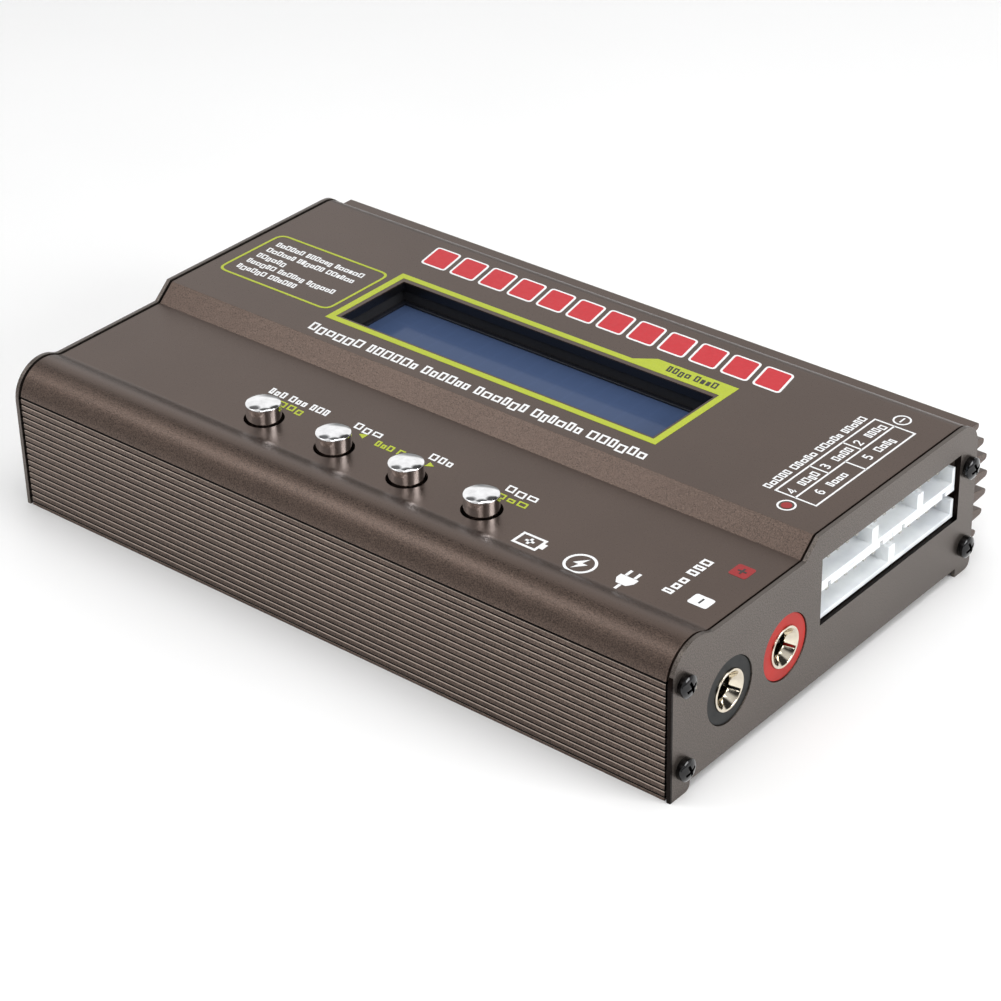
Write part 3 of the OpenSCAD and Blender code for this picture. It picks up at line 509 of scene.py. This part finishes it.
class Greeked:
    """A stand-in for a line of small type: even groups of blocks, which follow no wording."""

    RISERS, FALLERS = 0.38, 0.16

    def __init__(self, seed):
        self.random = random.Random(seed)

    def blocks(self, words, length, height, lean=0.0, gap=0.2):
        """Outlines from (0, 0) along +X. words lists how many blocks each group has."""
        widths, spaces = [], []
        for count in words:
            widths += [self.random.uniform(0.62, 1.0) for _ in range(count)]
            spaces += [gap] * (count - 1) + [0.75]
        spaces[-1] = 0
        unit = length / (sum(widths) + sum(spaces))
        made, x, first = [], 0.0, set()
        index = 0
        for count in words:
            first.add(index)
            index += count
        for i, (width, space) in enumerate(zip(widths, spaces)):
            roll = self.random.random()
            top = height if i in first or roll < self.RISERS else height * 0.74
            low = -height * 0.22 if roll > 1 - self.FALLERS and i not in first else 0.0
            made.append(slanted(x + low * lean, low, x + width * unit + low * lean, top, lean))
            x += (width + space) * unit
        return made

    def draw(self, layer, words, length, height, place, lean=0.0, gap=0.2, stroke=0.3):
        """Blocks on a layer, moved by place. Wide ones are hollow."""
        for block in self.blocks(words, length, height, lean, gap):
            (x0, y0), (x1, _), _, (_, y1) = block
            if x1 - x0 < 2.5 * stroke:
                layer.shape(place(block))
                continue
            shift = lean * stroke
            hole = slanted(x0 + stroke + shift, y0 + stroke, x1 - stroke + shift, y1 - stroke, lean)
            layer.ring(place(block), place(hole))


# ---------------------------------------------------------------- what is printed

def print_display_frame():
    """The lime frame round the window, with the tab that leaves its far right corner."""
    low, high = Vector((-36.4, -0.25)), Vector((32.0, 19.35))
    band, tab_top, ramp_x, ramp = 1.25, 21.7, 12.7, 3.3
    outer = [low, (high.x, low.y), (high.x, tab_top),
             (ramp_x + ramp, tab_top), (ramp_x, high.y), (low.x, high.y)]
    inner_high = high - Vector((band, band))
    inner = [(low.x + band, low.y + band), (inner_high.x, low.y + band), inner_high,
             (ramp_x + ramp, inner_high.y), (ramp_x, inner_high.y), (low.x + band, inner_high.y)]
    Print("print_display_frame", LIME_INK, UPPER_DECK).ring(outer, inner).finish()
    label = Print("print_display_label", DARK_INK, UPPER_DECK, 1)
    Greeked(3).draw(label, [4, 4], 9.8, 1.7, along_x(19.3, 19.3), LEAN, 0.3)
    label.finish()


def print_ratings():
    """A rounded lime outline round five short lines."""
    low, high = Vector((-63.2, 1.55)), Vector((-37.7, 17.75))
    line_w, corner = 0.45, 2.0
    inset = Vector((line_w, line_w))
    outer = rounded(rectangle(*low, *high), corner)
    inner = rounded(rectangle(*(low + inset), *(high - inset)), corner - line_w)
    Print("print_ratings_outline", LIME_INK, UPPER_DECK).ring(outer, inner).finish()
    text = Print("print_ratings_lines", WHITE_INK, UPPER_DECK)
    greeked = Greeked(11)
    start, first_line, line_pitch, type_h = -60.9, 13.75, 2.45, 1.4
    lines = (3, 20.0), (3, 20.0), (1, 6.6), (3, 20.0), (2, 13.4)
    for i, (groups, length) in enumerate(lines):
        place = along_x(start, first_line - i * line_pitch)
        greeked.draw(text, [6] * groups, length, type_h, place, LEAN, stroke=0.27)
    text.finish()


def print_title():
    """A row of equal slanted red bars with white edges. It follows no name."""
    count, pitch, width = 12, 6.3, 4.6
    base, top, edge, corner = 24.6, 30.2, 0.42, 0.5
    red = Print("print_title_bars", RED_INK, UPPER_DECK, 1)
    white = Print("print_title_edges", WHITE_INK, UPPER_DECK)
    for i in range(count):
        left = -36.5 + i * pitch
        around = rectangle(left - edge, base - edge, left + width + edge, top + edge)
        white.shape(rounded(leaned(around, base), corner + edge))
        red.shape(rounded(leaned(rectangle(left, base, left + width, top), base), corner))
    red.finish()
    white.finish()


def leaned(points, base):
    """An outline sheared by the slant that the printing has."""
    return [(x + (y - base) * LEAN, y) for x, y in points]


def print_tagline():
    text = Print("print_tagline", WHITE_INK, UPPER_DECK)
    Greeked(5).draw(text, [6] * 6, 69.3, 2.3, along_x(-36.0, -4.95), LEAN, 0.22, 0.38)
    text.finish()


# Numerals as strokes in a box one unit high.
NUMERALS = {
    2: [[(0.06, 0.76), (0.2, 0.95), (0.42, 0.98), (0.6, 0.84), (0.58, 0.62), (0.06, 0.04), (0.66, 0.04)]],
    3: [[(0.06, 0.9), (0.32, 0.99), (0.56, 0.88), (0.56, 0.66), (0.32, 0.54), (0.6, 0.4), (0.6, 0.14),
         (0.34, 0.02), (0.06, 0.12)]],
    4: [[(0.5, 0.0), (0.5, 0.94), (0.06, 0.28), (0.7, 0.28)]],
    5: [[(0.6, 0.96), (0.14, 0.96), (0.1, 0.54), (0.4, 0.6), (0.62, 0.44), (0.6, 0.14),
         (0.34, 0.02), (0.06, 0.1)]],
    6: [[(0.56, 0.92), (0.3, 0.98), (0.1, 0.72), (0.07, 0.3), (0.26, 0.03), (0.52, 0.07),
         (0.63, 0.3), (0.5, 0.52), (0.28, 0.56), (0.12, 0.42)]],
}


def print_cell_table():
    """The plan of the balance sockets: how many cells each takes, and which end is positive."""
    left, middle, right, front, back = 54.2, 57.75, 61.5, 0.05, 26.7
    line_w, numeral_h = 0.3, 1.55
    dividers = {middle: (left, (8.9, 17.73)), right: (middle, (13.25,))}
    table = Print("print_table_lines", WHITE_INK, UPPER_DECK)
    table.ribbon(rectangle(left, front, right, back), line_w, closed=True)
    table.ribbon([(middle, front), (middle, back)], line_w)
    for end_x, (start_x, places) in dividers.items():
        for y in places:
            table.ribbon([(start_x, y), (end_x, y)], line_w)
    text = Print("print_table_text", WHITE_INK, UPPER_DECK)
    greeked = Greeked(8)
    cells = (4, 56.95, 0.75), (3, 56.95, 9.75), (2, 56.95, 18.6), (6, 60.45, 3.15), (5, 60.45, 15.9)
    for count, base_x, digit_y in cells:
        for stroke in NUMERALS[count]:
            text.ribbon(along_y(base_x, digit_y)(placed(stroke, 0, 0, numeral_h)), 0.26)
        greeked.draw(text, [4], 4.3, 1.45, along_y(base_x - 0.05, digit_y + 2.9), gap=0.25, stroke=0.26)
    greeked.draw(text, [5] * 4, 26.2, 1.4, along_y(53.3, -0.1), gap=0.22, stroke=0.27)
    table.finish()
    text.finish()

    rings = Print("print_table_rings", WHITE_INK, UPPER_DECK)
    ring_r, ring_w = 1.5, 0.3
    positive, negative = (57.95, -2.46), (57.7, 28.97)
    for centre in (positive, negative):
        rings.ring(circle(*centre, ring_r), circle(*centre, ring_r - ring_w))
    rings.ribbon([(negative[0], negative[1] - 0.75), (negative[0], negative[1] + 0.75)], 0.28)
    rings.finish()
    Print("print_positive_dot", BADGE_RED_INK, UPPER_DECK).shape(circle(*positive, 0.85)).finish()


def print_pictograms():
    """Three plain pictograms: a battery, a bolt in a ring and a plug."""
    marks = Print("print_pictograms", WHITE_INK, LOWER_DECK)
    stroke = 0.45
    marks.ribbon(rectangle(29.4, -31.4, 33.5, -28.6), stroke, closed=True)
    marks.shape(rectangle(33.73, -30.7, 34.4, -29.3))
    marks.ribbon([(30.7, -30.0), (32.3, -30.0)], stroke)
    marks.ribbon([(31.5, -30.8), (31.5, -30.0)], stroke).ribbon([(31.5, -30.0), (31.5, -29.2)], stroke)
    centre = (41.1, -30.2)
    marks.ring(circle(*centre, 2.6), circle(*centre, 2.6 - stroke))
    bolt = [(0.55, 1.7), (-1.15, -0.25), (-0.15, -0.25), (-0.55, -1.7), (1.15, 0.25), (0.15, 0.25)]
    marks.shape(placed(bolt, *centre))
    body = [(-1.6, 0.9), (-1.6, -0.2), (-0.9, -1.3), (0.9, -1.3), (1.6, -0.2), (1.6, 0.9)]
    plug = (49.0, -29.6)
    marks.shape(placed(body, *plug))
    for x in (-0.8, 0.8):
        marks.shape(placed(rectangle(x - 0.25, 1.0, x + 0.25, 2.5), *plug))
    marks.shape(placed(rectangle(-0.25, -2.7, 0.25, -1.4), *plug))
    marks.finish()


def print_output_labels():
    """What stands beside the power sockets: a line of type, a plus and a minus."""
    text = Print("print_output_label", WHITE_INK, LOWER_DECK)
    Greeked(21).draw(text, [3, 3], 10.5, 1.75, along_y(56.3, -28.6), gap=0.3, stroke=0.38)
    text.finish()
    badge = rounded(rectangle(59.1, -28.75, 62.5, -26.1), 0.5)
    Print("print_minus_badge", WHITE_INK, LOWER_DECK).shape(badge).finish()
    Print("print_minus", DARK_INK, LOWER_DECK, 1).ribbon([(60.8, -28.1), (60.8, -26.75)], 0.32).finish()
    badge = rounded(rectangle(59.3, -19.1, 62.4, -16.0), 0.5)
    Print("print_plus_badge", BADGE_RED_INK, LOWER_DECK).shape(badge).finish()
    plus = Print("print_plus", DARK_INK, LOWER_DECK, 1)
    x, y, arm, half = 60.85, -17.55, 0.75, 0.16
    plus.shape([(x - half, y - arm), (x + half, y - arm), (x + half, y - half), (x + arm, y - half),
                (x + arm, y + half), (x + half, y + half), (x + half, y + arm), (x - half, y + arm),
                (x - half, y + half), (x - arm, y + half), (x - arm, y - half), (x - half, y - half)])
    plus.finish()


def print_button_labels():
    """Each button has a white line of type, and a lime one partly behind it."""
    white = Print("print_button_labels", WHITE_INK, LOWER_DECK)
    lime = Print("print_button_marks", LIME_INK, LOWER_DECK)
    greeked = Greeked(31)
    for layer, words, x, y, length, height in (
            (white, [3, 3, 3], -29.8, -21.15, 12.5, 1.7), (lime, [3], -26.2, -23.3, 5.5, 1.5),
            (white, [3], -11.5, -21.1, 5.6, 1.7), (lime, [3, 3], -5.3, -23.2, 8.3, 1.5),
            (white, [3], 4.05, -21.15, 4.5, 1.7), (white, [3], 19.4, -21.15, 6.0, 1.7),
            (lime, [3], 19.5, -23.45, 5.7, 1.35)):
        greeked.draw(layer, words, length, height, along_x(x, y), LEAN, 0.25, 0.32)
    lime.shape([(-9.4, -22.05), (-8.05, -22.8), (-8.05, -21.3)])
    lime.shape([(6.4, -22.45), (5.1, -21.75), (5.1, -23.15)])
    white.finish()
    lime.finish()


print_display_frame()
print_ratings()
print_title()
print_tagline()
print_cell_table()
print_pictograms()
print_output_labels()
print_button_labels()
dress_nodes()


# ---------------------------------------------------------------- stage

def add_area(name, location, target, size, power, colour=(1, 1, 1)):
    """A soft rectangular light. Places are in millimetres, and power in watts."""
    data = bpy.data.lights.new(name, "AREA")
    data.shape = "RECTANGLE"
    data.size, data.size_y = (side * MM for side in size)
    data.energy = power
    data.color = colour
    light = bpy.data.objects.new(name, data)
    light.location = Vector(location) * MM
    light.rotation_euler = (Vector(target) - Vector(location)).to_track_quat("-Z", "Y").to_euler()
    bpy.context.scene.collection.objects.link(light)
    return light


def add_floor():
    data = bpy.data.meshes.new("floor")
    reach = 3.0
    corners = [(x, y, 0) for x, y in rectangle(-reach, -reach, reach, reach)]
    data.from_pydata(corners, [], [(0, 1, 2, 3)])
    floor = bpy.data.objects.new("floor", data)
    bpy.context.scene.collection.objects.link(floor)
    s = Shader("floor_look", (0.97, 0.97, 0.97), 0.0, 0.8)
    s.paint(s.tinted(s.range(s.noise(60, 2), 0.3, 0.7), 0.99, 1.01))
    data.materials.append(s.material)


# Dark places in the sky, for polished metal to show: the direction, the cosines of the rim and the
# core, and how much light is left in the core.
DARK_PLACES = (
    ((0.62, -0.72, 0.3), 0.82, 0.93, 0.06),
    ((-0.59, 0.2, 0.78), 0.975, 0.99, 0.15),
    ((-0.26, 0.3, 0.92), 0.98, 0.992, 0.12),
    ((-0.1, 0.6, 0.79), 0.97, 0.985, 0.08),
    ((-0.56, 0.82, 0.1), 0.965, 0.99, 0.3),
    ((0.42, 0.65, 0.64), 0.86, 0.94, 0.04),
)


def add_world():
    """A sky that is brightest behind the object, with a few dark places."""
    world = bpy.data.worlds.new("studio")
    bpy.context.scene.world = world
    world.use_nodes = True
    tree = world.node_tree
    background = tree.nodes["Background"]
    background.inputs["Color"].default_value = (1, 1, 1, 1)
    where = tree.nodes.new("ShaderNodeTexCoord").outputs["Generated"]

    def toward(direction, low, high, start, end):
        """From start to end as the cosine of the angle to a direction goes from low to high."""
        dot = tree.nodes.new("ShaderNodeVectorMath")
        dot.operation = "DOT_PRODUCT"
        dot.inputs[1].default_value = Vector(direction).normalized()
        tree.links.new(where, dot.inputs[0])
        ramp = tree.nodes.new("ShaderNodeMapRange")
        for socket, value in (("From Min", low), ("From Max", high), ("To Min", start), ("To Max", end)):
            ramp.inputs[socket].default_value = value
        tree.links.new(dot.outputs["Value"], ramp.inputs["Value"])
        return ramp.outputs["Result"]

    strength = toward((-0.6, 0.72, 0.35), -0.8, 0.9, 0.4, 1.05)
    for direction, rim, core, left in DARK_PLACES:
        product = tree.nodes.new("ShaderNodeMath")
        product.operation = "MULTIPLY"
        tree.links.new(strength, product.inputs[0])
        tree.links.new(toward(direction, rim, core, 1.0, left), product.inputs[1])
        strength = product.outputs[0]
    tree.links.new(strength, background.inputs["Strength"])


def add_camera():
    azimuth, elevation, roll = (math.radians(a) for a in (40.34, 31.52, -1.34))
    target = Vector((0.34, 0.25, 4.93)) * MM
    distance = 482.3 * MM
    back = Vector((math.sin(azimuth) * math.cos(elevation), -math.cos(azimuth) * math.cos(elevation),
                   math.sin(elevation)))
    right = (-back).cross(Vector((0, 0, 1))).normalized()
    up = right.cross(-back)
    turned_right = right * math.cos(roll) + up * math.sin(roll)
    turned_up = up * math.cos(roll) - right * math.sin(roll)
    data = bpy.data.cameras.new("camera")
    data.lens = 106.6
    data.sensor_width = 36.0
    camera = bpy.data.objects.new("camera", data)
    camera.matrix_world = Matrix.Translation(target + back * distance) @ Matrix(
        (turned_right, turned_up, back)).transposed().to_4x4()
    bpy.context.scene.collection.objects.link(camera)
    bpy.context.scene.camera = camera


add_floor()
add_world()
add_camera()
add_area("key", (-305, -240, 440), (0, 0, 15), (170, 230), 0.34)
add_area("overhead", (120, 60, 560), (20, 0, 0), (360, 360), 0.9)
add_area("fill", (560, 120, 260), (60, 0, 10), (300, 260), 1.8)
add_area("front", (260, -420, 420), (90, -220, 0), (220, 220), 0.8)
bpy.context.scene.view_settings.view_transform = "Standard"
